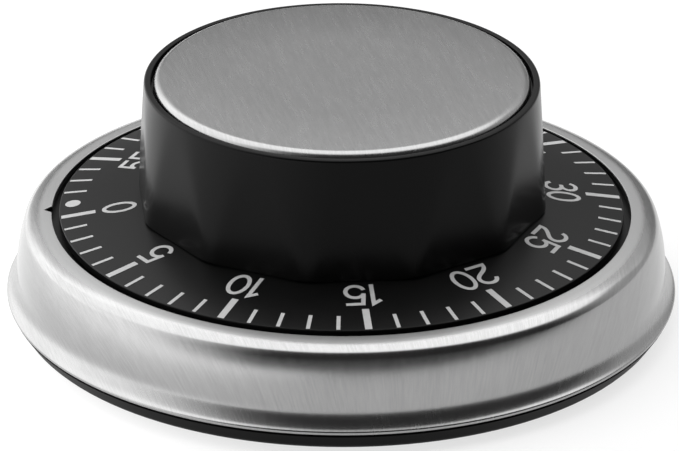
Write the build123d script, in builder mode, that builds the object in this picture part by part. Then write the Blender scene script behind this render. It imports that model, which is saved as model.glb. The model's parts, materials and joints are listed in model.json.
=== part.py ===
from build123d import *
import math
import os

# A round dial kitchen timer: a pressed steel case, a black dial ring turned by a large knob,
# and a clockwork movement with a bell. +Z is up, z = 0 is what it stands on, the dial turns
# about Z, and the case's index notch is on the +Y side. All sizes are in millimetres.

# overall
height = 30.0
sheet = 0.6
foot_proud = 0.4

# steel case, as its outer profile from the dial opening down to the rolled edge
lip_radius = 34.5
lip_height = 12.7
lip_end = (35.3, 12.62)
shoulder_middle = (36.9, 12.22)
shoulder_end = (37.86, 11.17)
flank_end = (38.75, 5.6)
flare_middle = (39.75, 3.27)
flare_end = (40.07, 3.03)
rolled_edge = 0.28
notch_half_width = 0.85
notch_tip = 35.44
notch_mouth = 0.1

# base cover
cover_bottom = foot_proud
cover_rim_top = 2.6
cover_floor_top = 2.2
cover_bottom_radius = 38.3
cover_rim_radius = 39.72
cover_rim_chamfer = 0.25
foot_inner = 35.7
foot_outer = 37.3
foot_depth = 0.6
foot_edge = 0.2
magnet_inner = 6.0
magnet_outer = 14.0
magnet_thickness = 1.2
magnet_chamfer = 0.25
slot_ring = 22.0
slot_count = 12
slot_length = 6.0
slot_width = 1.4
cover_edge = 0.35
clearance = 0.1
gong_seat_radius = 3.0
gong_screw_bottom = 1.1
gong_screw_radius = 1.15
cover_screw_radius = 0.95
cover_screw_head = 1.7
cover_screw_tip = 8.0

# inner housing
deck_bottom = 10.1
deck_top = 11.3
deck_opening = 22.5
wall_inner = 35.4
wall_outer = 36.9
rim_inner = 34.7
rim_outer = 36.2
rim_outer_top = 11.7
rim_inner_top = 12.02
rim_step = 0.2
cover_screw_ring = 33.6
cover_boss_radius = 1.9
cover_hole_depth = 6.0
mount_ring = 25.0
mount_boss_radius = 2.2
mount_screw_radius = 0.8
mount_hole_depth = 3.6
mount_screw_length = 4.0
mount_head_radius = 1.5
mount_head_height = 0.8
mount_angles = [60, 180, 300]

# dial and knob
dial_rest = 5.0
dial_outer = 33.6
dial_inner = 23.0
dial_edge_height = 12.91
dial_slope = math.radians(8.64)
dial_thickness = 0.95
knob_bottom_radius = 24.5
knob_top_radius = 23.4
knob_top = 29.55
knob_gap = 0.2
knob_cavity = 21.8
spigot_bottom = 12.9
spigot_height = 3.0
dial_lug_count = 6
knob_ceiling = 27.2
knob_recess_radius = 22.6
knob_recess_floor = 28.5
facet_count = 12
facet_apothem = 23.85
facet_draft = 1.3
cap_radius = 22.3
cap_sheet = 0.5
cap_edge = 1.0
cap_gap = 0.05
boss_radius = 4.6
boss_bottom = 21.9
rib_bottom = 24.6
arbor_top = 26.4
arbor_flat = 3.4
arbor_thread_bottom = 23.0
knob_screw_radius = 0.9
knob_screw_head = 2.1

# bell
gong_floor = 3.2
gong_sheet = 0.5
gong_radius = 30.5
gong_corner = 4.0
gong_top = 9.4
gong_hole = 1.25
gong_head_radius = 2.4
gong_head_height = 0.8

# movement frame
bottom_plate_bottom = 5.0
bottom_plate_top = 5.8
top_plate_bottom = 13.4
top_plate_top = 14.2
plate_radius = 20.6
bottom_plate_radius = 21.0
ear_radius = 3.0
ear_neck = 8.0
window_ring = 14.5
window_radius = 2.6
pillar_ring = 18.2
pillar_angles = [20, 104, 262]
pillar_radius = 1.5
pillar_end = 0.9
pillar_past_nut = 0.4
nut_radius = 2.0
nut_height = 1.2
spring_cup_radius = 15.0
spring_cup_top = 20.8
spring_flange_radius = 16.2
spring_turns = 7
spring_pitch = 1.7
spring_strip = 0.3
spring_width = 5.0
flange_thickness = 0.5

# running fits
running = 0.05
end_shake = 0.1
main_radius = 2.0
main_pivot = 0.9
pivot_radius = 0.5
arbor_radius = 0.75

# wheel train: module, tooth counts and proportions in modules
first_module = 0.3
train_module = 0.25
great_teeth = 60
second_teeth = 60
third_teeth = 56
pinion_teeth = 8
escape_teeth = 16
wheel_tooth = {"addendum": 0.7, "dedendum": 1.0, "thickness": 0.46}
pinion_tooth = {"addendum": 0.5, "dedendum": 1.1, "thickness": 0.42}
second_place = (10.2, 200.0)
third_place_radius = 12.5
escape_place_radius = 12.5
balance_place = (13.0, 82.0)
hammer_place = (20.0, -45.0)
hammer_head_place = (27.1, -20.0)
escape_tip = 5.0
escape_root = 3.9
balance_radius = 5.5
cam_radius = 3.6
cam_lobe = 1.8
hammer_post_radius = 1.2
hammer_sleeve_z = (7.6, 12.4)
hammer_strip = 0.7
hammer_head_radius = 1.9
hammer_head_height = 2.2
coil_radius = 2.35
coil_wire = 0.18
coil_pitch = 0.5
coil_turns = 2

os.makedirs("parts", exist_ok=True)


def polar(radius, angle):
    """The point at a radius and an angle in degrees."""
    return (radius * math.cos(math.radians(angle)), radius * math.sin(math.radians(angle)))


def direction(start, end):
    """The angle in degrees from one point to another."""
    return math.degrees(math.atan2(end[1] - start[1], end[0] - start[0]))


def placed_at_distance(start, distance, radius):
    """The angle, clockwise of the start, at which a point on a radius lies this far from it."""
    start_radius, start_angle = start
    cosine = (start_radius**2 + radius**2 - distance**2) / (2 * start_radius * radius)
    return start_angle - math.degrees(math.acos(cosine))


def pitch_radius(module, teeth):
    return module * teeth / 2


def involute(angle):
    return math.tan(angle) - angle


def tooth_flank(module, teeth, tooth):
    """Radius and half angle (degrees) of one tooth at its root, below pitch, above it and tip."""
    pitch = pitch_radius(module, teeth)
    pressure = math.radians(20)
    base = pitch * math.cos(pressure)
    radii = [
        pitch - tooth["dedendum"] * module,
        pitch - 0.3 * module,
        pitch + 0.35 * tooth["addendum"] * module,
        pitch + tooth["addendum"] * module,
    ]
    flank = []
    for radius in radii:
        at_radius = math.acos(min(1.0, base / radius))
        half_angle = tooth["thickness"] * math.pi * module / 2 / pitch
        half_angle += involute(pressure) - involute(at_radius)
        flank.append((radius, math.degrees(half_angle)))
    return flank


def gear_points(module, teeth, tooth, first_angle):
    """The corners of a gear's outline, one tooth centred on first_angle."""
    flank = tooth_flank(module, teeth, tooth)
    points = []
    for index in range(teeth):
        middle = first_angle + 360 / teeth * index
        points += [polar(radius, middle - half) for radius, half in flank]
        points += [polar(radius, middle + half) for radius, half in reversed(flank)]
    return points


def finish_part(part, label):
    """Name a finished piece and write it to its own file."""
    part.label = label
    export_step(part, f"parts/{label}.step")


def dial_surface(radius):
    """Height of the dial's conical top at a radius."""
    return dial_edge_height + (dial_outer - radius) * math.tan(dial_slope)


# ---------------------------------------------------------------- places of the train

second_centre = polar(*second_place)
third_distance = pitch_radius(train_module, second_teeth + pinion_teeth)
third_angle = placed_at_distance(second_place, third_distance, third_place_radius)
third_centre = polar(third_place_radius, third_angle)
escape_distance = pitch_radius(train_module, third_teeth + pinion_teeth)
escape_angle = placed_at_distance(
    (third_place_radius, third_angle), escape_distance, escape_place_radius
)
escape_centre = polar(escape_place_radius, escape_angle)
balance_centre = polar(*balance_place)
hammer_centre = polar(*hammer_place)
hammer_head_centre = polar(*hammer_head_place)
train_centres = [second_centre, third_centre, escape_centre, balance_centre]

great_wheel_z = (6.6, 7.6)
second_pinion_z = (6.3, 7.9)
second_wheel_z = (8.5, 9.2)
third_pinion_z = (8.2, 9.5)
third_wheel_z = (10.2, 10.8)
escape_pinion_z = (9.9, 11.1)
escape_wheel_z = (11.9, 12.4)
pallet_z = (12.6, 13.0)
balance_ring_z = (9.0, 9.9)
cam_z = (11.7, 12.4)

# ---------------------------------------------------------------- case and base

case_arc_ends = [shoulder_middle, shoulder_end, flank_end, flare_middle, flare_end]
with BuildPart() as case_shell:
    with BuildSketch(Plane.XZ):
        with BuildLine():
            with BuildLine(mode=Mode.PRIVATE) as outside:
                stretch = Line((lip_radius, lip_height), lip_end)
                for stretch_end in case_arc_ends:
                    stretch = TangentArc(stretch @ 1, stretch_end, tangent=stretch % 1)
            offset(outside.line, amount=sheet, side=Side.RIGHT)
        make_face()
    revolve(axis=Axis.Z)
    round_edges = case_shell.edges().filter_by(GeomType.CIRCLE)
    fillet(round_edges.group_by(SortBy.RADIUS)[-1], radius=rolled_edge)
    with BuildSketch(Plane.XY.offset(deck_top)):
        Polygon(
            (-notch_half_width, lip_radius - 1),
            (notch_half_width, lip_radius - 1),
            (notch_half_width, lip_radius - notch_mouth),
            (0, notch_tip),
            (-notch_half_width, lip_radius - notch_mouth),
            align=None,
        )
    extrude(amount=lip_height, mode=Mode.SUBTRACT)
finish_part(case_shell.part, "case_shell")

with BuildPart() as inner_housing:
    with BuildSketch(Plane.XZ):
        with BuildLine():
            Polyline(
                (deck_opening, deck_bottom),
                (wall_inner, deck_bottom),
                (wall_inner, cover_rim_top),
                (wall_outer, cover_rim_top),
                (wall_outer, deck_top - rim_step),
                (rim_outer, deck_top + rim_step),
                (rim_outer, rim_outer_top),
                (rim_inner, rim_inner_top),
                (rim_inner, deck_top),
                (deck_opening, deck_top),
                close=True,
            )
        make_face()
    revolve(axis=Axis.Z)
    with BuildSketch(Plane.XY.offset(cover_floor_top)):
        with PolarLocations(cover_screw_ring, 3, start_angle=0):
            Circle(cover_boss_radius)
    extrude(until=Until.NEXT)
    with BuildSketch(Plane.XY.offset(bottom_plate_top)):
        for angle in mount_angles:
            with Locations(polar(mount_ring, angle)):
                Circle(mount_boss_radius)
    extrude(amount=deck_bottom - bottom_plate_top)
    with BuildSketch(Plane.XY.offset(cover_floor_top)):
        with PolarLocations(cover_screw_ring, 3, start_angle=0):
            Circle(cover_screw_radius)
    extrude(amount=cover_hole_depth, mode=Mode.SUBTRACT)
    with BuildSketch(Plane.XY.offset(bottom_plate_top)):
        for angle in mount_angles:
            with Locations(polar(mount_ring, angle)):
                Circle(mount_screw_radius)
    extrude(amount=mount_hole_depth, mode=Mode.SUBTRACT)
finish_part(inner_housing.part, "inner_housing")

with BuildPart() as back_cover:
    with BuildSketch(Plane.XZ):
        with BuildLine():
            Polyline(
                (0, cover_bottom),
                (cover_bottom_radius, cover_bottom),
                (cover_bottom_radius + cover_edge, cover_bottom + cover_edge),
                (cover_rim_radius, cover_rim_top - cover_rim_chamfer),
                (cover_rim_radius - cover_rim_chamfer, cover_rim_top),
                (wall_inner + 0.2, cover_rim_top),
                (wall_inner + 0.2, cover_floor_top),
                (gong_seat_radius, cover_floor_top),
                (gong_seat_radius, gong_floor),
                (0, gong_floor),
                close=True,
            )
        make_face()
    revolve(axis=Axis.Z)
    with BuildSketch(Plane.XY.offset(cover_bottom)):
        Circle(foot_outer)
        Circle(foot_inner, mode=Mode.SUBTRACT)
        Circle(magnet_outer + clearance)
        Circle(magnet_inner - clearance, mode=Mode.SUBTRACT)
    extrude(amount=foot_depth, mode=Mode.SUBTRACT)
    with BuildSketch(Plane.XY.offset(cover_bottom)):
        Circle(magnet_outer + clearance)
        Circle(magnet_inner - clearance, mode=Mode.SUBTRACT)
    extrude(amount=magnet_thickness + 0.05, mode=Mode.SUBTRACT)
    with BuildSketch(Plane.XY):
        with PolarLocations(slot_ring, slot_count):
            SlotOverall(slot_length, slot_width)
    extrude(amount=cover_rim_top, mode=Mode.SUBTRACT)
    with BuildSketch(Plane.XY.offset(gong_screw_bottom - clearance)):
        Circle(gong_screw_radius)
    extrude(amount=gong_floor, mode=Mode.SUBTRACT)
    screw_side = Plane(origin=(0, 0, cover_bottom), x_dir=(1, 0, 0), z_dir=(0, 0, -1))
    with Locations(screw_side):
        with PolarLocations(cover_screw_ring, 3, start_angle=0):
            CounterSinkHole(cover_screw_radius + clearance, cover_screw_head + 0.15, depth=3)
finish_part(back_cover.part, "back_cover")

with BuildPart() as foot_ring:
    with BuildSketch(Plane.XY):
        Circle(foot_outer)
        Circle(foot_inner, mode=Mode.SUBTRACT)
    extrude(amount=cover_bottom + foot_depth)
    bottom_edges = foot_ring.edges().group_by(Axis.Z)[0]
    fillet(bottom_edges, radius=foot_edge)
finish_part(foot_ring.part, "foot_ring")

with BuildPart() as ring_magnet:
    with BuildSketch(Plane.XY.offset(cover_bottom + 0.05)):
        Circle(magnet_outer)
        Circle(magnet_inner, mode=Mode.SUBTRACT)
    extrude(amount=magnet_thickness)
    chamfer(ring_magnet.edges().group_by(Axis.Z)[0], length=magnet_chamfer)
finish_part(ring_magnet.part, "ring_magnet")

screw_head_bottom = cover_bottom + clearance
with BuildPart() as cover_screws:
    with BuildSketch(Plane.XZ) as cover_screw_profile:
        with BuildLine():
            Polyline(
                (0, screw_head_bottom),
                (cover_screw_head, screw_head_bottom),
                (cover_screw_radius, screw_head_bottom + cover_screw_head - cover_screw_radius),
                (cover_screw_radius, cover_screw_tip - 0.4),
                (cover_screw_radius - 0.4, cover_screw_tip),
                (0, cover_screw_tip),
                close=True,
            )
        make_face()
    revolve(axis=Axis.Z)
    with BuildSketch(Plane.XY.offset(cover_bottom)):
        Rectangle(2.0, 0.35)
        Rectangle(0.35, 2.0)
    extrude(amount=0.6, mode=Mode.SUBTRACT)
with BuildPart() as cover_screw_group:
    with PolarLocations(cover_screw_ring, 3, start_angle=0):
        add(cover_screws.part)
finish_part(cover_screw_group.part, "cover_screws")

# ---------------------------------------------------------------- bell

with BuildPart() as bell_gong:
    with BuildSketch(Plane.XZ):
        with BuildLine():
            gong_outside = gong_floor + gong_corner
            floor_line = Line((gong_hole, gong_floor), (gong_radius - gong_corner, gong_floor))
            corner = RadiusArc(floor_line @ 1, (gong_radius, gong_outside), -gong_corner)
            Polyline(
                corner @ 1,
                (gong_radius, gong_top),
                (gong_radius - gong_sheet, gong_top),
                (gong_radius - gong_sheet, gong_outside),
            )
            RadiusArc(
                (gong_radius - gong_sheet, gong_outside),
                (gong_radius - gong_corner, gong_floor + gong_sheet),
                gong_corner - gong_sheet,
            )
            Polyline(
                (gong_radius - gong_corner, gong_floor + gong_sheet),
                (gong_hole, gong_floor + gong_sheet),
                (gong_hole, gong_floor),
            )
        make_face()
    revolve(axis=Axis.Z)
finish_part(bell_gong.part, "bell_gong")

with BuildPart() as gong_screw:
    with BuildSketch(Plane.XY.offset(gong_screw_bottom)):
        Circle(gong_screw_radius)
    extrude(amount=gong_floor + gong_sheet - gong_screw_bottom)
    with BuildSketch(Plane.XY.offset(gong_floor + gong_sheet)):
        Circle(gong_head_radius)
    extrude(amount=gong_head_height)
    fillet(gong_screw.edges().group_by(Axis.Z)[-1], radius=0.3)
    with BuildSketch(Plane.XY.offset(gong_floor + gong_sheet + gong_head_height)):
        Rectangle(2.8, 0.5)
        Rectangle(0.5, 2.8)
    extrude(amount=-0.5, mode=Mode.SUBTRACT)
finish_part(gong_screw.part, "gong_screw")

# ---------------------------------------------------------------- movement frame

with BuildPart() as movement_bottom_plate:
    with BuildSketch(Plane.XY.offset(bottom_plate_bottom)):
        Circle(bottom_plate_radius)
        for angle in mount_angles:
            with Locations(polar(mount_ring, angle)):
                Circle(ear_radius)
        for angle in mount_angles:
            with Locations(polar(mount_ring - ear_neck / 2, angle)):
                Rectangle(ear_neck, 2 * ear_radius, rotation=angle)
        with Locations(hammer_centre):
            Circle(ear_radius)
        for angle in (50, 140, 310):
            with Locations(polar(window_ring, angle)):
                Circle(window_radius, mode=Mode.SUBTRACT)
        for angle in mount_angles:
            with Locations(polar(mount_ring, angle)):
                Circle(mount_screw_radius + clearance, mode=Mode.SUBTRACT)
        for angle in pillar_angles:
            with Locations(polar(pillar_ring, angle)):
                Circle(pillar_end, mode=Mode.SUBTRACT)
        with Locations(*train_centres):
            Circle(pivot_radius + running, mode=Mode.SUBTRACT)
        with Locations(hammer_centre):
            Circle(pillar_end, mode=Mode.SUBTRACT)
        Circle(main_pivot + running, mode=Mode.SUBTRACT)
    extrude(amount=bottom_plate_top - bottom_plate_bottom)
finish_part(movement_bottom_plate.part, "movement_bottom_plate")

with BuildPart() as movement_top_plate:
    with BuildSketch(Plane.XY.offset(top_plate_bottom)):
        Circle(plate_radius)
        for angle in (-28, -62):
            with Locations(polar(14.0, angle)):
                Circle(3.4, mode=Mode.SUBTRACT)
        for angle in pillar_angles:
            with Locations(polar(pillar_ring, angle)):
                Circle(pillar_end, mode=Mode.SUBTRACT)
        with Locations(*train_centres):
            Circle(pivot_radius + running, mode=Mode.SUBTRACT)
        Circle(main_radius + running, mode=Mode.SUBTRACT)
    extrude(amount=top_plate_top - top_plate_bottom)
finish_part(movement_top_plate.part, "movement_top_plate")

nut_bottom = top_plate_top + flange_thickness
with BuildPart() as plate_pillars:
    for angle in pillar_angles:
        pillar_centre = polar(pillar_ring, angle)
        with BuildSketch(Plane.XY.offset(bottom_plate_bottom)):
            with Locations(pillar_centre):
                Circle(pillar_end)
        extrude(amount=nut_bottom + nut_height + pillar_past_nut - bottom_plate_bottom)
        with BuildSketch(Plane.XY.offset(bottom_plate_top)):
            with Locations(pillar_centre):
                Circle(pillar_radius)
        extrude(amount=top_plate_bottom - bottom_plate_top)
finish_part(plate_pillars.part, "plate_pillars")

with BuildPart() as pillar_nuts:
    with BuildSketch(Plane.XY.offset(nut_bottom)):
        for angle in pillar_angles:
            with Locations(polar(pillar_ring, angle)):
                RegularPolygon(nut_radius, 6, rotation=angle)
                Circle(pillar_end, mode=Mode.SUBTRACT)
    extrude(amount=nut_height)
finish_part(pillar_nuts.part, "pillar_nuts")

with BuildPart() as mount_screws:
    for angle in mount_angles:
        screw_centre = polar(mount_ring, angle)
        with BuildSketch(Plane.XY.offset(bottom_plate_bottom)):
            with Locations(screw_centre):
                Circle(mount_screw_radius)
        extrude(amount=mount_screw_length)
        with BuildSketch(Plane.XY.offset(bottom_plate_bottom)):
            with Locations(screw_centre):
                Circle(mount_head_radius)
        extrude(amount=-mount_head_height)
        with BuildSketch(Plane.XY.offset(bottom_plate_bottom - mount_head_height)):
            with Locations(screw_centre):
                Rectangle(3.2, 0.4)
        extrude(amount=0.35, mode=Mode.SUBTRACT)
finish_part(mount_screws.part, "mount_screws")

with BuildPart() as spring_cup:
    with BuildSketch(Plane.XZ):
        with BuildLine():
            Polyline(
                (main_radius + running, spring_cup_top),
                (spring_cup_radius, spring_cup_top),
                (spring_cup_radius, top_plate_top + flange_thickness),
                (spring_flange_radius, top_plate_top + flange_thickness),
                (spring_flange_radius, top_plate_top),
                (spring_cup_radius - flange_thickness, top_plate_top),
                (spring_cup_radius - flange_thickness, spring_cup_top - flange_thickness),
                (main_radius + running, spring_cup_top - flange_thickness),
                close=True,
            )
        make_face()
    revolve(axis=Axis.Z)
    with BuildSketch(Plane.XY.offset(top_plate_top)):
        for angle in pillar_angles:
            with Locations(polar(pillar_ring, angle)):
                Circle(2.3)
            with Locations(polar(pillar_ring - 1.4, angle)):
                Rectangle(2.8, 4.6, rotation=angle)
            with Locations(polar(pillar_ring, angle)):
                Circle(pillar_end, mode=Mode.SUBTRACT)
    extrude(amount=flange_thickness)
finish_part(spring_cup.part, "spring_cup")

spring_inner = main_radius + 0.15


def spiral_end(step, extra):
    """Where the spiral crosses the X axis after a number of half turns."""
    side = 1 if step % 2 == 0 else -1
    return side * (spring_inner + extra + spring_pitch / 2 * step)


def spiral_half_turns(extra):
    """The spiral as half circles that meet on the X axis."""
    for step in range(2 * spring_turns):
        start = spiral_end(step, extra)
        end = spiral_end(step + 1, extra)
        up = 1 if step % 2 == 0 else -1
        ThreePointArc((start, 0), ((start + end) / 2, up * abs(start - end) / 2), (end, 0))


with BuildPart() as mainspring:
    with BuildSketch(Plane.XY.offset(top_plate_top + 0.7)):
        with BuildLine():
            spiral_half_turns(0)
            spiral_half_turns(spring_strip)
            Line((spiral_end(0, 0), 0), (spiral_end(0, spring_strip), 0))
            last = 2 * spring_turns
            Line((spiral_end(last, 0), 0), (spiral_end(last, spring_strip), 0))
        make_face()
    extrude(amount=spring_width)
finish_part(mainspring.part, "mainspring")

# ---------------------------------------------------------------- dial and knob

with BuildPart() as dial_ring:
    with BuildSketch(Plane.XZ):
        with BuildLine():
            Polyline(
                (dial_inner, dial_surface(dial_inner)),
                (dial_outer - 0.15, dial_surface(dial_outer - 0.15)),
                (dial_outer, dial_edge_height - 0.12),
                (dial_outer, dial_edge_height - dial_thickness + 0.1),
                (dial_inner, dial_surface(dial_inner) - dial_thickness),
                close=True,
            )
        make_face()
    revolve(axis=Axis.Z)
finish_part(dial_ring.part, "dial_ring")

spigot_outer = dial_inner - 0.05
zero_angle = 90 + dial_rest
with BuildPart() as knob:
    with BuildSketch(Plane.XZ):
        with BuildLine():
            Polyline(
                (0, knob_recess_floor),
                (knob_recess_radius, knob_recess_floor),
                (knob_recess_radius, knob_top),
                (knob_top_radius, knob_top),
                (knob_bottom_radius, dial_surface(knob_bottom_radius) + knob_gap),
                (knob_cavity, dial_surface(knob_cavity) + knob_gap),
                (knob_cavity, knob_ceiling),
                (0, knob_ceiling),
                close=True,
            )
        make_face()
    revolve(axis=Axis.Z)
    with BuildSketch(Plane.XY.offset(spigot_bottom)):
        RegularPolygon(
            facet_apothem, facet_count, major_radius=False, rotation=zero_angle + 180 / facet_count
        )
    extrude(amount=knob_top - spigot_bottom, taper=facet_draft, mode=Mode.INTERSECT)
    with BuildSketch(Plane.XY.offset(spigot_bottom)):
        Circle(spigot_outer)
        Circle(knob_cavity, mode=Mode.SUBTRACT)
    extrude(amount=spigot_height)
    with BuildSketch(Plane.XY.offset(spigot_bottom)):
        with PolarLocations(0, dial_lug_count):
            with Locations((dial_inner, 0)):
                Rectangle(0.8, 3.0)
    extrude(amount=0.5)
    with BuildSketch(Plane.XY.offset(boss_bottom)):
        Circle(boss_radius)
    extrude(until=Until.NEXT)
    with BuildSketch(Plane.XY.offset(rib_bottom)):
        with PolarLocations((boss_radius + knob_cavity) / 2, 6, start_angle=30):
            Rectangle(knob_cavity - boss_radius + 0.6, 1.0)
    extrude(amount=knob_ceiling - rib_bottom)
    with BuildSketch(Plane.XY.offset(boss_bottom)) as arbor_socket:
        Circle(main_radius)
        with Locations((0, 2 * main_radius - arbor_flat)):
            Rectangle(2 * main_radius, 2 * main_radius, mode=Mode.SUBTRACT)
    extrude(amount=arbor_top - boss_bottom, mode=Mode.SUBTRACT)
    with Locations((0, 0, knob_recess_floor)):
        CounterSinkHole(knob_screw_radius, knob_screw_head, depth=knob_recess_floor - boss_bottom)
finish_part(knob.part, "knob")

with BuildPart() as cap:
    cap_bottom = knob_recess_floor + cap_gap
    with BuildSketch(Plane.XY.offset(cap_bottom)):
        Circle(cap_radius)
    extrude(amount=height - cap_bottom)
    fillet(cap.edges().group_by(Axis.Z)[-1], radius=cap_edge)
    openings = cap.faces().sort_by(Axis.Z)[0]
    offset(amount=-cap_sheet, openings=openings)
finish_part(cap.part, "cap")

with BuildPart() as cap_pad:
    with BuildSketch(Plane.XY.offset(knob_recess_floor)):
        Circle(cap_radius - cap_sheet - 0.8)
    extrude(amount=height - cap_sheet - knob_recess_floor)
finish_part(cap_pad.part, "cap_pad")

with BuildPart() as knob_screw:
    with BuildSketch(Plane.XZ):
        with BuildLine():
            Polyline(
                (0, arbor_thread_bottom + 0.3),
                (knob_screw_radius, arbor_thread_bottom + 0.3),
                (knob_screw_radius, knob_recess_floor - knob_screw_head + knob_screw_radius),
                (knob_screw_head - 0.05, knob_recess_floor - 0.05),
                (0, knob_recess_floor - 0.05),
                close=True,
            )
        make_face()
    revolve(axis=Axis.Z)
    with BuildSketch(Plane.XY.offset(knob_recess_floor - 0.05)):
        Rectangle(2.6, 0.45)
        Rectangle(0.45, 2.6)
    extrude(amount=-0.6, mode=Mode.SUBTRACT)
finish_part(knob_screw.part, "knob_screw")

# ---------------------------------------------------------------- main arbor and what it carries

with BuildPart() as main_arbor:
    with BuildSketch(Plane.XZ):
        with BuildLine():
            Polyline(
                (0, bottom_plate_bottom),
                (main_pivot, bottom_plate_bottom),
                (main_pivot, bottom_plate_top + end_shake),
                (main_radius, bottom_plate_top + end_shake),
                (main_radius, arbor_top),
                (0, arbor_top),
                close=True,
            )
        make_face()
    revolve(axis=Axis.Z)
    with BuildSketch(Plane.XY.offset(boss_bottom)):
        with Locations((0, 2 * main_radius - arbor_flat)):
            Rectangle(2 * main_radius, 2 * main_radius)
    extrude(amount=arbor_top - boss_bottom, mode=Mode.SUBTRACT)
    with BuildSketch(Plane.XY.offset(arbor_thread_bottom)):
        Circle(knob_screw_radius)
    extrude(amount=arbor_top - arbor_thread_bottom, mode=Mode.SUBTRACT)
finish_part(main_arbor.part, "main_arbor")


def make_wheel(module, teeth, bore, z_range, first_angle, spokes):
    """A stamped brass wheel with cut-outs between its spokes."""
    rim = pitch_radius(module, teeth) - 2.6 * module
    hub = bore + 1.1
    middle = (rim + hub) / 2
    with BuildPart() as wheel:
        with BuildSketch(Plane.XY.offset(z_range[0])):
            with BuildLine():
                Polyline(*gear_points(module, teeth, wheel_tooth, first_angle), close=True)
            make_face()
            Circle(bore, mode=Mode.SUBTRACT)
            with PolarLocations(middle, spokes, start_angle=180 / spokes):
                Circle((rim - hub) / 2 - 0.15, mode=Mode.SUBTRACT)
        extrude(amount=z_range[1] - z_range[0])
    return wheel


def make_arbor(module, pinion_range, first_angle):
    """A steel arbor with a pinion cut on it, and a pivot at each end."""
    with BuildPart() as arbor:
        with BuildSketch(Plane.XY.offset(bottom_plate_bottom)):
            Circle(pivot_radius)
        extrude(amount=top_plate_top - bottom_plate_bottom)
        with BuildSketch(Plane.XY.offset(bottom_plate_top + end_shake)):
            Circle(arbor_radius)
        extrude(amount=top_plate_bottom - bottom_plate_top - 2 * end_shake)
        with BuildSketch(Plane.XY.offset(pinion_range[0])):
            with BuildLine():
                Polyline(
                    *gear_points(module, pinion_teeth, pinion_tooth, first_angle), close=True
                )
            make_face()
        extrude(amount=pinion_range[1] - pinion_range[0])
    return arbor


def place_part(part, centre, label):
    """Move a piece made about Z to its arbor's place and write it."""
    with BuildPart(Plane(origin=(centre[0], centre[1], 0))) as placed:
        add(part)
    finish_part(placed.part, label)


pinion_gap = 180 / pinion_teeth
main_centre = (0, 0)

to_second = direction(main_centre, second_centre)
great_wheel = make_wheel(first_module, great_teeth, main_radius, great_wheel_z, to_second, 5)
finish_part(great_wheel.part, "great_wheel")

second_arbor = make_arbor(first_module, second_pinion_z, to_second + 180 + pinion_gap)
place_part(second_arbor.part, second_centre, "second_arbor")

to_third = direction(second_centre, third_centre)
second_wheel = make_wheel(train_module, second_teeth, arbor_radius, second_wheel_z, to_third, 4)
place_part(second_wheel.part, second_centre, "second_wheel")

third_arbor = make_arbor(train_module, third_pinion_z, to_third + 180 + pinion_gap)
place_part(third_arbor.part, third_centre, "third_arbor")

to_escape = direction(third_centre, escape_centre)
third_wheel = make_wheel(train_module, third_teeth, arbor_radius, third_wheel_z, to_escape, 4)
place_part(third_wheel.part, third_centre, "third_wheel")

escape_arbor = make_arbor(train_module, escape_pinion_z, to_escape + 180 + pinion_gap)
place_part(escape_arbor.part, escape_centre, "escape_arbor")

with BuildPart() as escape_wheel:
    with BuildSketch(Plane.XY.offset(escape_wheel_z[0])):
        with BuildLine():
            escape_points = []
            for index in range(escape_teeth):
                tooth_angle = 360 / escape_teeth * index
                escape_points.append(polar(escape_tip, tooth_angle))
                escape_points.append(polar(escape_tip - 0.05, tooth_angle + 3))
                escape_points.append(polar(escape_root, tooth_angle + 10))
                escape_points.append(polar(escape_root, tooth_angle + 19))
            Polyline(*escape_points, close=True)
        make_face()
        Circle(arbor_radius, mode=Mode.SUBTRACT)
        with PolarLocations(2.5, 4, start_angle=45):
            Circle(0.75, mode=Mode.SUBTRACT)
    extrude(amount=escape_wheel_z[1] - escape_wheel_z[0])
place_part(escape_wheel.part, escape_centre, "escape_wheel")

with BuildPart() as clutch_washer:
    with BuildSketch(Plane.XY.offset(great_wheel_z[1])):
        Circle(3.2)
        with PolarLocations(4.0, 3, start_angle=90):
            SlotOverall(4.0, 1.6)
        Circle(main_radius, mode=Mode.SUBTRACT)
    extrude(amount=0.3)
finish_part(clutch_washer.part, "clutch_washer")

with BuildPart() as strike_cam:
    with BuildSketch(Plane.XY.offset(cam_z[0])):
        Circle(cam_radius)
        with Locations(polar(cam_radius - 0.6, 120)):
            Circle(cam_lobe)
        Circle(main_radius, mode=Mode.SUBTRACT)
    extrude(amount=cam_z[1] - cam_z[0])
finish_part(strike_cam.part, "strike_cam")

# ---------------------------------------------------------------- balance

with BuildPart() as balance_arbor:
    with BuildSketch(Plane.XY.offset(bottom_plate_bottom)):
        Circle(pivot_radius)
    extrude(amount=top_plate_top - bottom_plate_bottom)
    with BuildSketch(Plane.XY.offset(bottom_plate_top + end_shake)):
        Circle(arbor_radius)
    extrude(amount=top_plate_bottom - bottom_plate_top - 2 * end_shake)
place_part(balance_arbor.part, balance_centre, "balance_arbor")

with BuildPart() as balance_ring:
    with BuildSketch(Plane.XY.offset(balance_ring_z[0])):
        Circle(balance_radius)
        Circle(balance_radius - 1.3, mode=Mode.SUBTRACT)
        Rectangle(2 * balance_radius - 1.5, 1.6)
        Circle(1.7)
        Circle(arbor_radius, mode=Mode.SUBTRACT)
    extrude(amount=balance_ring_z[1] - balance_ring_z[0])
place_part(balance_ring.part, balance_centre, "balance_ring")

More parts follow.
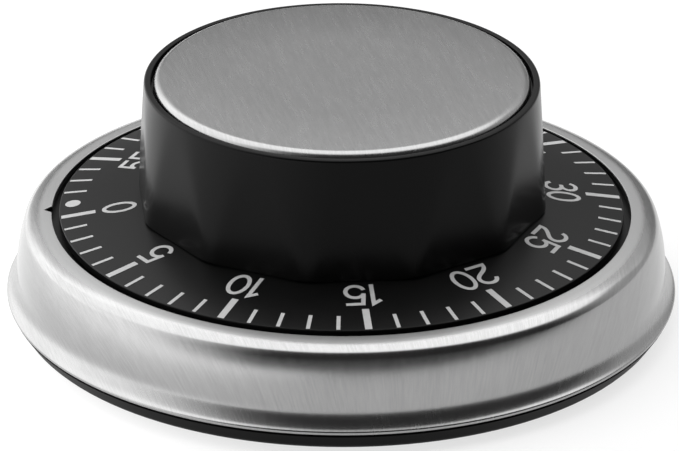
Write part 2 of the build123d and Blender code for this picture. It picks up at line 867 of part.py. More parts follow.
to_escape_wheel = direction(balance_centre, escape_centre)
with BuildPart() as pallet_lever:
    with BuildSketch(Plane.XY.offset(pallet_z[0])):
        with Locations(Location((0, 0, 0), (0, 0, to_escape_wheel))):
            Circle(1.5)
            with Locations((1.6, 0)):
                Rectangle(3.2, 1.4)
            with Locations((2.9, 0)):
                Rectangle(1.2, 6.4)
            with Locations((4.0, 2.8), (4.0, -2.8)):
                Rectangle(2.6, 0.8)
            Circle(arbor_radius, mode=Mode.SUBTRACT)
    extrude(amount=pallet_z[1] - pallet_z[0])
place_part(pallet_lever.part, balance_centre, "pallet_lever")

# ---------------------------------------------------------------- bell hammer

with BuildPart() as hammer_post:
    with BuildSketch(Plane.XY.offset(bottom_plate_bottom)):
        Circle(pillar_end)
    extrude(amount=bottom_plate_top - bottom_plate_bottom)
    with BuildSketch(Plane.XY.offset(bottom_plate_top)):
        Circle(2.2)
    extrude(amount=hammer_sleeve_z[0] - end_shake - bottom_plate_top)
    with BuildSketch(Plane.XY.offset(hammer_sleeve_z[0] - end_shake)):
        Circle(hammer_post_radius)
    extrude(amount=hammer_sleeve_z[1] + 0.5 - hammer_sleeve_z[0])
place_part(hammer_post.part, hammer_centre, "hammer_post")

arm_angle = direction(hammer_centre, hammer_head_centre)
arm_length = math.dist(hammer_centre, hammer_head_centre)
tail_angle = direction(hammer_centre, main_centre)
tail_length = hammer_place[0] - cam_radius - cam_lobe - 0.2
with BuildPart() as hammer_lever:
    with BuildSketch(Plane.XY.offset(hammer_sleeve_z[0])):
        Circle(hammer_post_radius + running + 0.7)
    extrude(amount=hammer_sleeve_z[1] - hammer_sleeve_z[0])
    with BuildSketch(Plane.XY.offset(hammer_sleeve_z[0])):
        with Locations(Location((0, 0, 0), (0, 0, arm_angle))):
            with Locations((arm_length / 2, 0)):
                Rectangle(arm_length, 1.8)
            Circle(2.6)
            with Locations((arm_length, 0)):
                Circle(1.5)
    extrude(amount=hammer_strip)
    with BuildSketch(Plane.XY.offset(hammer_sleeve_z[1] - hammer_strip)):
        with Locations(Location((0, 0, 0), (0, 0, tail_angle))):
            with Locations((tail_length / 2, 0)):
                Rectangle(tail_length, 1.6)
            Circle(2.6)
    extrude(amount=hammer_strip)
    with BuildSketch(Plane.XY.offset(hammer_sleeve_z[0])):
        Circle(hammer_post_radius + running)
    extrude(amount=hammer_sleeve_z[1] - hammer_sleeve_z[0], mode=Mode.SUBTRACT)
    with BuildSketch(Plane.XY.offset(hammer_sleeve_z[0])):
        with Locations(polar(arm_length, arm_angle)):
            Circle(0.7)
    extrude(amount=hammer_strip, mode=Mode.SUBTRACT)
place_part(hammer_lever.part, hammer_centre, "hammer_lever")

with BuildPart() as hammer_head:
    with BuildSketch(Plane.XY.offset(hammer_sleeve_z[0] - hammer_head_height)):
        Circle(hammer_head_radius)
    extrude(amount=hammer_head_height)
    fillet(hammer_head.edges().group_by(Axis.Z)[0], radius=0.3)
    with BuildSketch(Plane.XY.offset(hammer_sleeve_z[0])):
        Circle(0.7)
    extrude(amount=hammer_strip + 0.2)
place_part(hammer_head.part, hammer_head_centre, "hammer_head")

coil_bottom = hammer_sleeve_z[0] + hammer_strip + 0.4
with BuildPart() as hammer_spring:
    with BuildLine():
        coil = Helix(
            pitch=coil_pitch,
            height=coil_turns * coil_pitch,
            radius=coil_radius,
            center=(0, 0, coil_bottom),
        )
    with BuildSketch(Plane(origin=coil @ 0, z_dir=coil % 0)):
        Circle(coil_wire)
    sweep(path=coil, is_frenet=True)
place_part(hammer_spring.part, hammer_centre, "hammer_spring")
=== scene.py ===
import bpy
import json
import math
from mathutils import Matrix, Vector
from mathutils.geometry import delaunay_2d_cdt


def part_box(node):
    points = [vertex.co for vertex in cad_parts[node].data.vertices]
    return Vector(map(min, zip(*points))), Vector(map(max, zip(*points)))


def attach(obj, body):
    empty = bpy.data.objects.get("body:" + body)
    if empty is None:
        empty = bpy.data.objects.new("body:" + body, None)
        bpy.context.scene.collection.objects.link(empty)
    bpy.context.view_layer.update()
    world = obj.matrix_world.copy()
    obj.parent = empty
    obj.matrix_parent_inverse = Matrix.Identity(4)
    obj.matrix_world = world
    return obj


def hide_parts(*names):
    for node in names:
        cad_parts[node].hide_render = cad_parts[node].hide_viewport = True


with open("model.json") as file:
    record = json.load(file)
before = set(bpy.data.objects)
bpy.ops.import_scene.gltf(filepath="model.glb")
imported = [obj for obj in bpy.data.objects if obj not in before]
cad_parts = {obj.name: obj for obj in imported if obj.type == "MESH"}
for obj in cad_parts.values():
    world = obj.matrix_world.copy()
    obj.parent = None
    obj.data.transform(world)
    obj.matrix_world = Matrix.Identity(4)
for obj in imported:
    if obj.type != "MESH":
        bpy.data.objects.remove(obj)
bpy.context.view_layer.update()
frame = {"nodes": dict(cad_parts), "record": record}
mm = 0.001

# heights and radii read from the frame
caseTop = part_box("case_shell")[1].z
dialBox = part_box("dial_ring")
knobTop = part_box("knob")[1].z / mm
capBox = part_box("cap")
dialRest = math.radians(5.0)   # how far the zero mark stands past the case's notch at rest
notchAngle = math.radians(90.0)


def polar(radius, angle, height=0.0):
    return Vector((radius * math.cos(angle), radius * math.sin(angle), height))


view = {
    "distance": 742.8 * mm,        # from the dial's center
    "elevation": math.radians(24.78),
    "heading": math.radians(179.5),  # where the camera stands, counted from +X
    "aim": (math.radians(-0.017), math.radians(-0.167), math.radians(-0.244)),  # yaw, pitch, roll
    "lens": 330.57,
}


def makeCamera():
    target = Vector((0, 0, dialBox[0].z + 0.88 * mm))
    outward = polar(math.cos(view["elevation"]), view["heading"], math.sin(view["elevation"]))
    forward = -outward
    right = forward.cross(Vector((0, 0, 1))).normalized()
    up = right.cross(forward)
    yaw, pitch, roll = view["aim"]
    forward, up = (forward * math.cos(pitch) + up * math.sin(pitch),
                   up * math.cos(pitch) - forward * math.sin(pitch))
    forward, right = (forward * math.cos(yaw) + right * math.sin(yaw),
                      right * math.cos(yaw) - forward * math.sin(yaw))
    up, right = (up * math.cos(roll) + right * math.sin(roll),
                 right * math.cos(roll) - up * math.sin(roll))
    camera = bpy.data.objects.new("camera", bpy.data.cameras.new("camera"))
    bpy.context.scene.collection.objects.link(camera)
    turn = Matrix((right, up, -forward)).transposed().to_4x4()
    camera.matrix_world = Matrix.Translation(target + outward * view["distance"]) @ turn
    camera.data.lens = view["lens"]
    camera.data.sensor_width = 36.0
    camera.data.clip_start = 0.01
    camera.data.clip_end = 20.0
    bpy.context.scene.camera = camera


makeCamera()
print("camera placed")


class Link:
    # a socket's output that can be used in sums

    def __init__(self, shader, socket):
        self.shader = shader
        self.socket = socket

    def sum(self, operation, first, second):
        return self.shader.add("ShaderNodeMath", {"operation": operation}, {0: first, 1: second})

    def __add__(self, other):
        return self.sum("ADD", self, other)

    def __radd__(self, other):
        return self.sum("ADD", other, self)

    def __sub__(self, other):
        return self.sum("SUBTRACT", self, other)

    def __rsub__(self, other):
        return self.sum("SUBTRACT", other, self)

    def __mul__(self, other):
        return self.sum("MULTIPLY", self, other)

    def __rmul__(self, other):
        return self.sum("MULTIPLY", other, self)

    def __truediv__(self, other):
        return self.sum("DIVIDE", self, other)

    def __rtruediv__(self, other):
        return self.sum("DIVIDE", other, self)

    def __pow__(self, other):
        return self.sum("POWER", self, other)

    def __rpow__(self, other):
        return self.sum("POWER", other, self)


class Shader:
    # the nodes of one material or world

    def __init__(self, owner):
        self.owner = owner
        owner.use_nodes = True
        self.tree = owner.node_tree
        self.tree.nodes.clear()

    def add(self, kind, settings=None, values=None, output=0):
        node = self.tree.nodes.new(kind)
        for key, value in (settings or {}).items():
            setattr(node, key, value)
        for key, value in (values or {}).items():
            if isinstance(value, Link):
                self.tree.links.new(value.socket, node.inputs[key])
            else:
                node.inputs[key].default_value = value
        return Link(self, node.outputs[output]) if len(node.outputs) else None

    def place(self, kind="Object"):
        return self.add("ShaderNodeTexCoord", output=kind)

    def scaled(self, vector, scale):
        return self.add("ShaderNodeVectorMath", {"operation": "MULTIPLY"}, {0: vector, 1: scale})

    def turned(self, vector, angle):
        return self.add("ShaderNodeVectorRotate", {"rotation_type": "Z_AXIS"},
                        {"Vector": vector, "Angle": angle})

    def noise(self, vector, scale, detail=3.0, rough=0.5):
        return self.add("ShaderNodeTexNoise", None, {"Vector": vector, "Scale": scale,
                                                     "Detail": detail, "Roughness": rough})

    def step(self, value, low, high):
        # 0 below low, 1 above high and smooth between; low may be the larger one
        return self.add("ShaderNodeMapRange", {"interpolation_type": "SMOOTHSTEP"},
                        {"Value": value, "From Min": low, "From Max": high})

    def parts(self, vector):
        node = self.tree.nodes.new("ShaderNodeSeparateXYZ")
        self.tree.links.new(vector.socket, node.inputs[0])
        return [Link(self, out) for out in node.outputs]

    def joined(self, x, y, z):
        return self.add("ShaderNodeCombineXYZ", None, {0: x, 1: y, 2: z})

    def mixed(self, amount, first, second):
        return self.add("ShaderNodeMix", {"data_type": "RGBA"}, {0: amount, 6: first, 7: second},
                        output=2)

    def bump(self, height, strength, depth):
        return self.add("ShaderNodeBump", None,
                        {"Height": height, "Strength": strength, "Distance": depth})

    def finish(self, **sockets):
        values = {socketLabels[key]: value for key, value in sockets.items()}
        surface = self.add("ShaderNodeBsdfPrincipled", None, values)
        self.add("ShaderNodeOutputMaterial", None, {"Surface": surface})
        return self.owner


socketLabels = {
    "color": "Base Color", "metal": "Metallic", "rough": "Roughness", "normal": "Normal",
    "specular": "Specular IOR Level", "glow": "Emission Color",
    "glowStrength": "Emission Strength",
}


def newShader(name):
    return Shader(bpy.data.materials.new(name))


def grey(level):
    return (level, level, level, 1)


steel = {
    "capColor": 0.31,
    "caseColor": 0.33,
    "lipPaintedSheen": 0.02,              # painted sheen: the lip's colour is this much lighter than the sheet, standing in for the light it reflects
    "toneEdges": (0.35, 0.65),     # how much of the scratches' tone shows in the color
    "capTones": (0.94, 1.06),
    "caseTones": (0.92, 1.07),
    "capRough": 0.26,
    "caseRough": 0.2,
    "lipRough": 0.24,              # how much duller the lip is than the sheet
    "lipEdges": (0.3 * mm, 0.1 * mm),      # down from the case's top
    "flareRough": 0.06,            # and how much duller the flare is
    "flareEdges": (5.8 * mm, 4.4 * mm),
    "grain": math.radians(12),     # brushing direction in plan, counted from +X
    "fineScale": (160, 6500, 160),         # along and across the brushing
    "dashScale": (420, 2600, 420),
    "broadScale": (60, 420, 60),
    "blotchScale": 160.0,
    "drawn": 0.9,                  # how far the sheet's grain is stretched down the sides
    "scratch": 0.004 * mm,
    "scratchStrength": 0.4,
}


def brushing(shader, vector, angle):
    # long fine scratches, shorter dashes and faint wider streaks along one direction
    along = shader.turned(vector, -angle)
    fine = shader.noise(shader.scaled(along, steel["fineScale"]), 1.0, 2.0, 0.6)
    dashes = shader.noise(shader.scaled(along, steel["dashScale"]), 1.0, 2.0, 0.6)
    broad = shader.noise(shader.scaled(along, steel["broadScale"]), 1.0, 2.0, 0.5)
    return fine, dashes, broad


def steelTone(shader, tone, color, tones):
    dark, light = tones
    return shader.mixed(shader.step(tone, *steel["toneEdges"]),
                        grey(color * dark), grey(color * light))


def capSteel():
    shader = newShader("cap_brushed_steel")
    fine, dashes, broad = brushing(shader, shader.place(), steel["grain"])
    base = steelTone(shader, fine * 0.45 + dashes * 0.4 + broad * 0.15,
                     steel["capColor"], steel["capTones"])
    rough = steel["capRough"] - 0.06 + dashes * 0.08 + broad * 0.04
    dents = shader.bump(fine * 0.6 + dashes * 0.4, steel["scratchStrength"], steel["scratch"])
    return shader.finish(color=base, metal=1.0, rough=rough, normal=dents)


def caseSteel():
    # the sheet was brushed flat before it was drawn, so the grain follows the unrolled sheet
    shader = newShader("case_brushed_steel")
    place = shader.place()
    x, y, z = shader.parts(place)
    radius = (x * x + y * y) ** 0.5
    drop = shader.add("ShaderNodeMath", {"operation": "MAXIMUM"}, {0: caseTop - z, 1: 0.0})
    unrolled = (radius + drop * steel["drawn"]) / radius
    flat = shader.joined(x * unrolled, y * unrolled, 0.0)
    fine, dashes, broad = brushing(shader, flat, steel["grain"])
    blotch = shader.noise(place, steel["blotchScale"], 3.0, 0.55)
    base = steelTone(shader, fine * 0.35 + dashes * 0.3 + broad * 0.2 + blotch * 0.15,
                     steel["caseColor"], steel["caseTones"])
    low, high = steel["lipEdges"]
    lip = shader.step(z, caseTop - low, caseTop - high)
    # painted sheen: the lip is coloured lighter than the sheet to stand in for its reflected light
    base = shader.mixed(lip, base, grey(steel["caseColor"] + steel["lipPaintedSheen"]))
    flare = shader.step(z, *steel["flareEdges"])
    rough = steel["caseRough"] - 0.07 + dashes * 0.07 + blotch * 0.07
    rough = rough + lip * steel["lipRough"] + flare * steel["flareRough"]
    dents = shader.bump(fine * 0.5 + dashes * 0.3 + blotch * 0.2,
                        steel["scratchStrength"], steel["scratch"])
    return shader.finish(color=base, metal=1.0, rough=rough, normal=dents)


plastic = {
    "speckleScale": 2600.0,
    "hazeScale": 90.0,
    "hazeTones": (0.75, 1.25),
    "hazeRough": 0.08,
    "skin": 0.01 * mm,
}


def blackPlastic(name, level, rough, grain, specular=0.25):
    shader = newShader(name)
    place = shader.place()
    speckle = shader.noise(place, plastic["speckleScale"], 2.0, 0.6)
    haze = shader.noise(place, plastic["hazeScale"], 3.0, 0.6)
    dark, light = plastic["hazeTones"]
    base = shader.mixed(haze, grey(level * dark), grey(level * light))
    skin = shader.bump(speckle, grain, plastic["skin"])
    dull = rough + haze * plastic["hazeRough"] - plastic["hazeRough"] / 2
    return shader.finish(color=base, rough=dull, normal=skin, specular=specular)


ink = {
    "wearScale": 1500.0,
    "tones": (0.38, 0.46),
    "rough": 0.5,
    "skin": 0.01 * mm,
}


def printedInk():
    shader = newShader("dial_ink")
    wear = shader.noise(shader.place(), ink["wearScale"], 3.0, 0.6)
    base = shader.mixed(wear, *(grey(tone) for tone in ink["tones"]))
    return shader.finish(color=base, rough=ink["rough"] + wear * 0.1, specular=0.3,
                         normal=shader.bump(wear, 0.2, ink["skin"]))


innerMetal = {
    "grainScale": (900, 900, 4200),
    "stainScale": 240.0,
    "stainTone": 0.78,
    "grainDepth": 0.006 * mm,
}


def turnedMetal(name, color, rough, metal=1.0):
    # stamped or turned inner parts, with fine grain lying flat and faint stains
    shader = newShader(name)
    place = shader.place()
    grain = shader.noise(shader.scaled(place, innerMetal["grainScale"]), 1.0, 3.0, 0.6)
    stain = shader.noise(place, innerMetal["stainScale"], 3.0, 0.6)
    dull = tuple(part * innerMetal["stainTone"] for part in color)
    base = shader.mixed(stain, (*dull, 1), (*color, 1))
    return shader.finish(color=base, metal=metal, rough=rough + grain * 0.14 - 0.05,
                         normal=shader.bump(grain, 0.25, innerMetal["grainDepth"]))


finishes = {
    "brushed_steel_case": caseSteel(),
    "brushed_steel_cap": capSteel(),
    "knob_black": blackPlastic("knob_plastic", 0.0025, 0.22, 0.03, specular=0.085),
    "dial_black": blackPlastic("dial_plastic", 0.0035, 0.36, 0.06, specular=0.13),
    "housing_black": blackPlastic("housing_plastic", 0.003, 0.5, 0.2, specular=0.2),
    "cover_black": blackPlastic("cover_plastic", 0.002, 0.42, 0.3, specular=0.035),
    "foot_rubber": blackPlastic("foot_rubber", 0.006, 0.75, 0.6, specular=0.15),
    "foam_pad": blackPlastic("foam_pad", 0.1, 0.9, 0.8),
    "ferrite": turnedMetal("ferrite_magnet", (0.06, 0.06, 0.065), 0.55, metal=0.3),
    "bell_nickel": turnedMetal("bell_nickel", (0.66, 0.65, 0.61), 0.18),
    "brass": turnedMetal("movement_brass", (0.72, 0.52, 0.24), 0.3),
    "zinc_steel": turnedMetal("zinc_steel", (0.55, 0.56, 0.58), 0.35),
    "spring_steel": turnedMetal("spring_steel", (0.33, 0.34, 0.37), 0.28),
    "dial_print": printedInk(),
}

for part in frame["record"]["subparts"]:
    node = frame["nodes"][part["node"]]
    node.data.materials.clear()
    node.data.materials.append(finishes[part["material_slot"]])
print("materials made")


def rounded(corners, steps=6):
    # (radius, height, corner radius) points in millimetres, each corner cut by an arc
    points = []
    count = len(corners)
    for index, (x, z, size) in enumerate(corners):
        here = Vector((x, z))
        if size == 0:
            points.append(here)
            continue
        before = (Vector(corners[index - 1][:2]) - here).normalized()
        after = (Vector(corners[(index + 1) % count][:2]) - here).normalized()
        half = before.angle(after) / 2
        middle = here + (before + after).normalized() * size / math.sin(half)
        start = here + before * size / math.tan(half) - middle
        end = here + after * size / math.tan(half) - middle
        first = math.atan2(start.y, start.x)
        sweep = math.remainder(math.atan2(end.y, end.x) - first, 2 * math.pi)
        for step in range(steps + 1):
            turn = first + sweep * step / steps
            points.append(middle + Vector((math.cos(turn), math.sin(turn))) * size)
    return points


def tangentArc(start, heading, end, steps):
    # points on the arc that leaves start along heading and reaches end, with the headings there
    start, end, heading = Vector(start), Vector(end), Vector(heading).normalized()
    chord = end - start
    side = Vector((-heading.y, heading.x))
    across = chord.dot(side)
    size = chord.length_squared / (2 * across)
    middle = start + side * size
    sweep = 2 * math.atan2(across, chord.dot(heading))
    turns = [Matrix.Rotation(sweep * step / steps, 2) for step in range(1, steps + 1)]
    return [(middle + turn @ (start - middle), turn @ heading) for turn in turns]


def newPiece(name, verts, faces, body, slot, smooth=True):
    mesh = bpy.data.meshes.new(name)
    mesh.from_pydata([tuple(vert) for vert in verts], [], faces)
    mesh.validate()
    mesh.update()
    piece = bpy.data.objects.new(name, mesh)
    bpy.context.scene.collection.objects.link(piece)
    mesh.materials.append(finishes[slot])
    mesh.polygons.foreach_set("use_smooth", [smooth] * len(mesh.polygons))
    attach(piece, body)
    return piece


def lathe(name, outline, body, slot, angles=360, shape=None, sharp=40):
    # a closed outline of (radius, height) in millimetres turned about Z
    if isinstance(angles, int):
        angles = [2 * math.pi * step / angles for step in range(angles)]
    count, turns = len(outline), len(angles)
    axis = {}
    verts, rows = [], []
    for angle in angles:
        row = []
        for index, (radius, height) in enumerate(outline):
            if radius < 1e-6 and index in axis:
                row.append(axis[index])
                continue
            if shape:
                radius, height = shape(radius, height, angle)
            axis[index] = len(verts)
            row.append(len(verts))
            verts.append(polar(radius * mm, angle, height * mm))
        rows.append(row)
    faces = []
    for turn in range(turns):
        here, there = rows[turn], rows[(turn + 1) % turns]
        for index in range(count):
            after = (index + 1) % count
            corners = [here[after], here[index], there[index], there[after]]
            corners = [c for place, c in enumerate(corners) if c != corners[place - 1]]
            if len(corners) > 2:
                faces.append(corners)
    piece = newPiece(name, verts, faces, body, slot)
    piece.data.set_sharp_from_angle(angle=math.radians(sharp))
    return piece


case = {
    "lip": (34.5, 12.7),
    "lipEnd": (35.3, 12.62),
    "shoulderMiddle": (36.9, 12.22),
    "shoulderEnd": (37.86, 11.17),
    "flankEnd": (38.75, 5.6),
    "flareMiddle": (39.75, 3.27),
    "flareEnd": (40.07, 3.03),
    "sheet": 0.6,
    "rolledEdge": 0.28,
    "notchHalfWidth": 0.85,
    "notchDepth": 0.94,
    "notchReach": 1.2,             # how far from the lip the metal around the notch is shaped
}


def makeCase():
    lip, start = Vector(case["lip"]), Vector(case["lipEnd"])
    heading = (start - lip).normalized()
    run = [(lip, heading), (lip.lerp(start, 0.5), heading), (start, heading)]
    for name, steps in (("shoulderMiddle", 10), ("shoulderEnd", 14), ("flankEnd", 24),
                        ("flareMiddle", 12), ("flareEnd", 3)):
        run += tangentArc(run[-1][0], run[-1][1], case[name], steps)
    edgeRun = 3                    # steps that the rolled edge takes the place of
    sheet = case["sheet"]
    outside = [point for point, heading in run]
    inside = [point + Vector((heading.y, -heading.x)) * sheet for point, heading in run]
    corners = [(*lip, 0.08)]
    corners += [(*point, 0) for point in outside[1:-edgeRun]]
    corners += [(*outside[-1], case["rolledEdge"]), (*inside[-1], case["rolledEdge"])]
    corners += [(*point, 0) for point in reversed(inside[1:-edgeRun])]
    corners += [(*inside[0], 0.08)]
    slope = heading.y / heading.x
    halfAngle = case["notchHalfWidth"] / lip.x

    def notched(radius, height, angle):
        near = 1 - abs(angle - notchAngle) / halfAngle
        left = lip.x + case["notchReach"] - radius
        if near <= 0 or left <= 0:
            return radius, height
        shift = case["notchDepth"] * near * min(1.0, left / case["notchReach"])
        return radius + shift, height + shift * slope

    even = [2 * math.pi * step / 360 for step in range(360)]
    cut = [notchAngle + halfAngle * step / 8 for step in range(-9, 10)]
    angles = sorted([a for a in even if abs(a - notchAngle) > 1.2 * halfAngle] + cut)
    piece = lathe("case_sheet", rounded(corners), "base", "brushed_steel_case", angles, notched)
    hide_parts("case_shell")


makeCase()

cap = {
    "radius": 22.3,
    "edge": 1.0,
    "sheet": 0.5,
}


def makeCap():
    top, bottom = capBox[1].z / mm, capBox[0].z / mm
    inside = cap["radius"] - cap["sheet"]
    corners = [(0, top, 0), (cap["radius"] * 0.5, top, 0), (cap["radius"], top, cap["edge"]),
               (cap["radius"], bottom, 0.1), (inside, bottom, 0.1),
               (inside, top - cap["sheet"], cap["edge"] - cap["sheet"]), (0, top - cap["sheet"], 0)]
    piece = lathe("cap_disc", rounded(corners, 10), "dial", "brushed_steel_cap", 360)
    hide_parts("cap")


makeCap()

dial = {
    "outer": 33.6,
    "inner": 23.0,
    "edgeHeight": 12.91,
    "slope": math.tan(math.radians(8.64)),
    "thickness": 0.95,
    "edge": 0.14,
}


def dialSurface(radius):
    return dial["edgeHeight"] + (dial["outer"] - radius) * dial["slope"]


def makeDial():
    outer, inner, thick = dial["outer"], dial["inner"], dial["thickness"]
    corners = [(inner, dialSurface(inner), 0.05), (outer, dialSurface(outer), dial["edge"]),
               (outer, dialSurface(outer) - thick + 0.1, 0.05),
               (inner, dialSurface(inner) - thick, 0)]
    piece = lathe("dial_disc", rounded(corners), "dial", "dial_black", 360)
    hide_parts("dial_ring")


makeDial()

knob = {
    "bottomRadius": 24.5,
    "topRadius": 23.4,
    "recess": 22.6,
    "recessFloor": 28.5,
    "cavity": 21.8,
    "ceiling": 27.2,
    "spigot": 22.95,
    "spigotBottom": 12.9,
    "facets": 12,
    "facetRadius": 23.85,          # to the middle of a facet at the spigot's bottom
    "facetDraft": math.radians(1.3),
    "facetBlend": 0.07,
    "rimEdge": 0.3,
    "gap": 0.2,                    # between the knob's foot and the dial
    "bossRadius": 4.6,
    "bossBottom": 21.9,
    "boreRadius": 2.0,
    "boreTop": 26.4,
    "screwRadius": 0.95,
    "screwHead": 2.15,
}


def makeKnob():
    bottom = dialSurface(knob["bottomRadius"]) + knob["gap"]
    rows = 30
    wall = []
    for row in range(1, rows):
        height = knobTop + (bottom - knobTop) * row / rows
        radius = knob["topRadius"] + (knob["bottomRadius"] - knob["topRadius"]) * row / rows
        wall.append((radius, height, 0))
    corners = [
        (knob["screwHead"], knob["recessFloor"], 0),
        (knob["recess"], knob["recessFloor"], 0.1),
        (knob["recess"], knobTop, 0.1),
        (knob["topRadius"], knobTop, knob["rimEdge"]),
        *wall,
        (knob["bottomRadius"], bottom, 0.1),
        (knob["spigot"], dialSurface(knob["spigot"]) + knob["gap"], 0),
        (knob["spigot"], knob["spigotBottom"], 0),
        (knob["cavity"], knob["spigotBottom"], 0),
        (knob["cavity"], knob["ceiling"], 0.4),
        (knob["bossRadius"], knob["ceiling"], 0.4),
        (knob["bossRadius"], knob["bossBottom"], 0.2),
        (knob["boreRadius"], knob["bossBottom"], 0),
        (knob["boreRadius"], knob["boreTop"], 0),
        (knob["screwRadius"], knob["boreTop"], 0),
        (knob["screwRadius"], knob["recessFloor"] - knob["screwHead"] + knob["screwRadius"], 0),
    ]
    pitch = 2 * math.pi / knob["facets"]
    zero = notchAngle + dialRest
    blend = knob["facetBlend"]

    def faceted(radius, height, angle):
        if radius < knob["spigot"] + 0.01:
            return radius, height
        off = math.remainder(angle - zero, pitch)
        rise = (height - knob["spigotBottom"]) * math.tan(knob["facetDraft"])
        facet = (knob["facetRadius"] - rise) / math.cos(off)
        soft = math.log(math.exp(-(radius - facet) / blend) + 1) * blend
        return facet - soft, height

    piece = lathe("knob_shell", rounded(corners), "dial", "knob_black", 720, faceted, sharp=50)
    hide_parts("knob")


makeKnob()

marks = {
    "minutes": 60,
    "tickOuter": 33.39,
    "shortInner": 30.67,
    "shortWidth": 0.45,
    "longInner": 29.33,
    "longWidth": 0.83,
    "dotRadius": 0.92,
    "dotPlace": 32.0,
    "numeralBottom": 24.4,
    "digitHeight": 4.15,
    "digitWidth": 2.68,
    "oneWidth": 1.42,
    "gap": 0.18,
    "oneGap": 0.42,
    "stroke": 0.5,
    "lift": 0.015,
    "sink": 0.03,
}


def arc(middle, size, first, last, steps=14):
    # points on part of an ellipse, turning from one angle to another in degrees
    points = []
    for step in range(steps + 1):
        turn = math.radians(first + (last - first) * step / steps)
        points.append(Vector((middle[0] + size[0] * math.cos(turn),
                              middle[1] + size[1] * math.sin(turn))))
    return points


def curve(first, firstPull, lastPull, last, steps=12):
    points = []
    for step in range(steps + 1):
        t = step / steps
        weights = ((1 - t) ** 3, 3 * t * (1 - t) ** 2, 3 * t * t * (1 - t), t ** 3)
        pulls = zip((first, firstPull, lastPull, last), weights)
        points.append(sum((Vector(p) * w for p, w in pulls), Vector((0, 0))))
    return points


def digitStrokes(digit):
    # the middle lines of a digit's strokes and the digit's width, standing on zero
    stroke = marks["stroke"]
    high = marks["digitHeight"] - stroke
    wide = (marks["oneWidth"] if digit == "1" else marks["digitWidth"]) - stroke
    half = wide / 2
    if digit == "0":
        strokes = [arc((half, high / 2), (half, high / 2), 90, 450, 36)[:-1]]
    elif digit == "1":
        strokes = [[Vector((0, high * 0.79)), Vector((wide, high)), Vector((wide, -stroke / 2))]]
    elif digit == "2":
        bowl = arc((half, high * 0.73), (half, high * 0.27), 172, 0)
        neck = curve((wide, high * 0.73), (wide, high * 0.42), (0, high * 0.38), (0, 0))
        strokes = [bowl + neck[1:] + [Vector((wide + stroke / 2, 0))]]
    elif digit == "3":
        strokes = [arc((half * 0.95, high * 0.765), (half * 0.9, high * 0.235), 165, -90),
                   arc((half, high * 0.265), (half, high * 0.265), 90, -165),
                   [Vector((half * 0.55, high * 0.53)), Vector((half, high * 0.53))]]
    elif digit == "4":
        strokes = [[Vector((wide + stroke / 2, high * 0.25)), Vector((0, high * 0.25)),
                    Vector((wide * 0.74, high))],
                   [Vector((wide * 0.76, high + stroke / 2)), Vector((wide * 0.76, -stroke / 2))]]
    else:
        strokes = [[Vector((wide * 0.94 + stroke / 2, high)), Vector((wide * 0.14, high)),
                    Vector((wide * 0.04, high * 0.42))],
                   arc((half * 0.98, high * 0.32), (half, high * 0.32), 148, -162, 22)]
    return strokes, wide + stroke


def strokeQuads(points, width, closed, coords, quads):
    # both edges of a stroke along its middle line, with mitred corners
    count = len(points)
    first = len(coords)
    for index, here in enumerate(points):
        before = here - points[index - 1] if closed or index else points[1] - here
        after = points[(index + 1) % count] - here if closed or index < count - 1 else before
        before, after = before.normalized(), after.normalized()
        side = Vector((-(before.y + after.y), before.x + after.x)).normalized()
        reach = width / 2 / max(0.3, side.dot(Vector((-after.y, after.x))))
        coords += [here + side * reach, here - side * reach]
    for index in range(count if closed else count - 1):
        here, there = first + 2 * index, first + 2 * ((index + 1) % count)
        quads.append([here, here + 1, there + 1, there])


def printMark(shape, angle, verts, faces):
    # joins the overlapping quads of one mark and lays it on the dial's cone
    coords, quads = shape
    points, edges, triangles, _, _, sources = delaunay_2d_cdt(coords, [], quads, 1, 1e-4, True)
    triangles = [corners for corners, source in zip(triangles, sources) if source]
    used = sorted({corner for corners in triangles for corner in corners})
    place = {corner: index for index, corner in enumerate(used)}
    first, count = len(verts), len(used)
    outward, right = polar(1, angle), polar(1, angle - math.pi / 2)
    for level in (marks["lift"], -marks["sink"]):
        for corner in used:
            spot = outward * points[corner].y + right * points[corner].x
            spot.z = dialSurface(spot.length) + level
            verts.append(spot * mm)
    sides = {}
    for corners in triangles:
        top = [first + place[corner] for corner in corners]
        faces.append(top)
        faces.append([corner + count for corner in reversed(top)])
        for index, start in enumerate(top):
            end = top[(index + 1) % 3]
            if (end, start) in sides:
                del sides[(end, start)]
            else:
                sides[(start, end)] = True
    for start, end in sides:
        faces.append([end, start, start + count, end + count])


def makePrint():
    verts, faces = [], []
    for minute in range(marks["minutes"]):
        angle = notchAngle + dialRest + 2 * math.pi * minute / marks["minutes"]
        coords, quads = [], []
        if minute == marks["minutes"] - 1:
            ring = arc((0, marks["dotPlace"]), (marks["dotRadius"],) * 2, 0, 360, 40)[:-1]
            coords += ring
            quads.append(list(range(len(ring))))
            printMark((coords, quads), angle, verts, faces)
            continue
        long = minute % 5 == 0
        inner = marks["longInner"] if long else marks["shortInner"]
        tick = [Vector((0, inner)), Vector((0, marks["tickOuter"]))]
        strokeQuads(tick, marks["longWidth" if long else "shortWidth"], False, coords, quads)
        printMark((coords, quads), angle, verts, faces)
        if not long:
            continue
        digits = str(minute)
        glyphs = [digitStrokes(digit) for digit in digits]
        gaps = marks["oneGap"] if "1" in digits else marks["gap"]
        left = -(sum(width for _, width in glyphs) + gaps * (len(glyphs) - 1)) / 2
        coords, quads = [], []
        for digit, (strokes, width) in zip(digits, glyphs):
            inset = marks["stroke"] / 2
            start = Vector((left + inset, marks["numeralBottom"] + inset))
            for stroke in strokes:
                strokeQuads([point + start for point in stroke], marks["stroke"], digit == "0",
                            coords, quads)
            left += width + gaps
        printMark((coords, quads), angle, verts, faces)
    newPiece("dial_print", verts, faces, "dial", "dial_print", smooth=False)


makePrint()
print("pieces made")

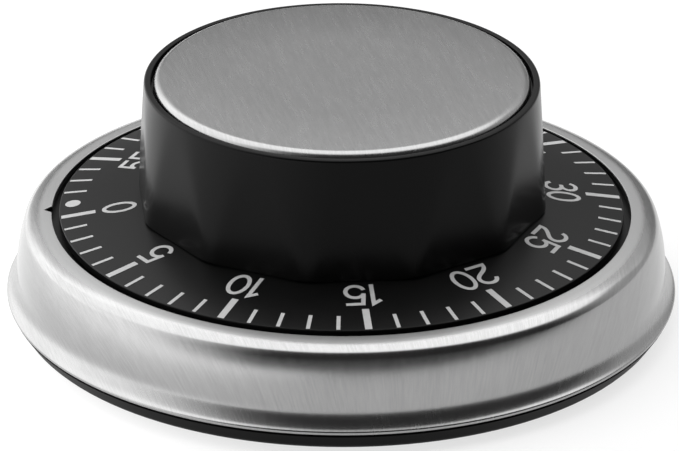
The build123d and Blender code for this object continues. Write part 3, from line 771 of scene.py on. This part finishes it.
studio = {
    "ceiling": 2.6,
    "ceilingSpread": 0.45,          # how much longer it is from left to right
    "ceilingTilt": (0.27, 0.05),    # how far it leans away and to the left
    "ceilingEdges": (0.84, 0.93),
    "far": (0.25, 0.35),            # the far wall at the floor, and how much it brightens upward
    "left": 2.6,
    "leftLean": 0.7,                # how far the left light is turned to the far side
    "leftEdges": ((-0.3, 1.3), (0.1, 0.7)),
    "right": 0.7,
    "rightEdges": (-0.35, -0.75),
    "cameraSide": 0.045,
    "cameraSideLean": 0.35,         # how far the dark side reaches round to the right
    "cameraSideEdges": (0.1, -0.5),
    "floor": 0.22,
    "floorSize": 6.0,
    "floorFibre": 40.0,
    "floorGlow": 0.72,
    "leftPaintedGlow": 1.0,                # painted pool of light: how much more the floor glows beside the left light
    "leftPaintedGlowEdges": (0.0, 0.12),
    "panel": {"place": (0.38, 0.0, 0.36), "size": (0.9, 0.36), "power": 0.48},
}


def makeStage():
    size = studio["floorSize"]
    mesh = bpy.data.meshes.new("floor")
    mesh.from_pydata([(-size, -size, 0), (size, -size, 0), (size, size, 0), (-size, size, 0)],
                     [], [(0, 1, 2, 3)])
    floor = bpy.data.objects.new("floor", mesh)
    bpy.context.scene.collection.objects.link(floor)
    shader = newShader("floor_paper_painted_glow")
    place = shader.place()
    fibre = shader.noise(place, studio["floorFibre"], 3.0, 0.5)
    pale, glow = studio["floor"], studio["floorGlow"]
    paper = shader.mixed(fibre, grey(pale * 0.99), grey(pale * 1.01))
    # painted pool of light: the floor glows brighter on its left side, beside the left light
    aside = shader.step(shader.parts(place)[1], *studio["leftPaintedGlowEdges"])
    light = shader.mixed(aside, grey(glow), grey(glow + studio["leftPaintedGlow"]))
    mesh.materials.append(shader.finish(color=paper, rough=0.9, specular=0.1,
                                        glow=light, glowStrength=1.0))


def makePanel():
    # a soft box beyond the object, whose lower edge the flat cap reflects
    panel = studio["panel"]
    data = bpy.data.lights.new("far_panel", "AREA")
    data.shape = "RECTANGLE"
    data.size, data.size_y = panel["size"]
    data.energy = panel["power"]
    light = bpy.data.objects.new("far_panel", data)
    light.location = panel["place"]
    light.rotation_mode = "QUATERNION"
    light.rotation_quaternion = Vector((-1, 0, 0)).to_track_quat("-Z", "Y")
    light.visible_camera = False
    bpy.context.scene.collection.objects.link(light)


def makeStudio():
    # soft light from the room: a bright ceiling and left side, and a dark side behind the camera
    world = bpy.data.worlds.new("studio")
    bpy.context.scene.world = world
    shader = Shader(world)
    x, y, z = shader.parts(shader.place("Generated"))
    away, aside = studio["ceilingTilt"]
    ceiling = shader.step(z + x * away + y * aside + y * y * studio["ceilingSpread"],
                          *studio["ceilingEdges"])
    turned, edge = studio["leftEdges"]
    left = shader.step(y + x * studio["leftLean"], *turned) * shader.step(y, *edge)
    right = shader.step(y, *studio["rightEdges"])
    front = shader.step(x + y * studio["cameraSideLean"], *studio["cameraSideEdges"])
    low, rise = studio["far"]
    wall = low + z * rise
    wall = wall * (1 - right) + right * studio["right"]
    wall = wall * (1 - front) + front * studio["cameraSide"]
    wall = wall * (1 - left) + left * studio["left"]
    light = wall * (1 - ceiling) + ceiling * studio["ceiling"]
    surface = shader.add("ShaderNodeBackground", None, {"Color": (1, 1, 1, 1), "Strength": light})
    shader.add("ShaderNodeOutputWorld", None, {"Surface": surface})


makeStage()
makePanel()
makeStudio()
bpy.context.scene.view_settings.view_transform = "Standard"
print("stage made")
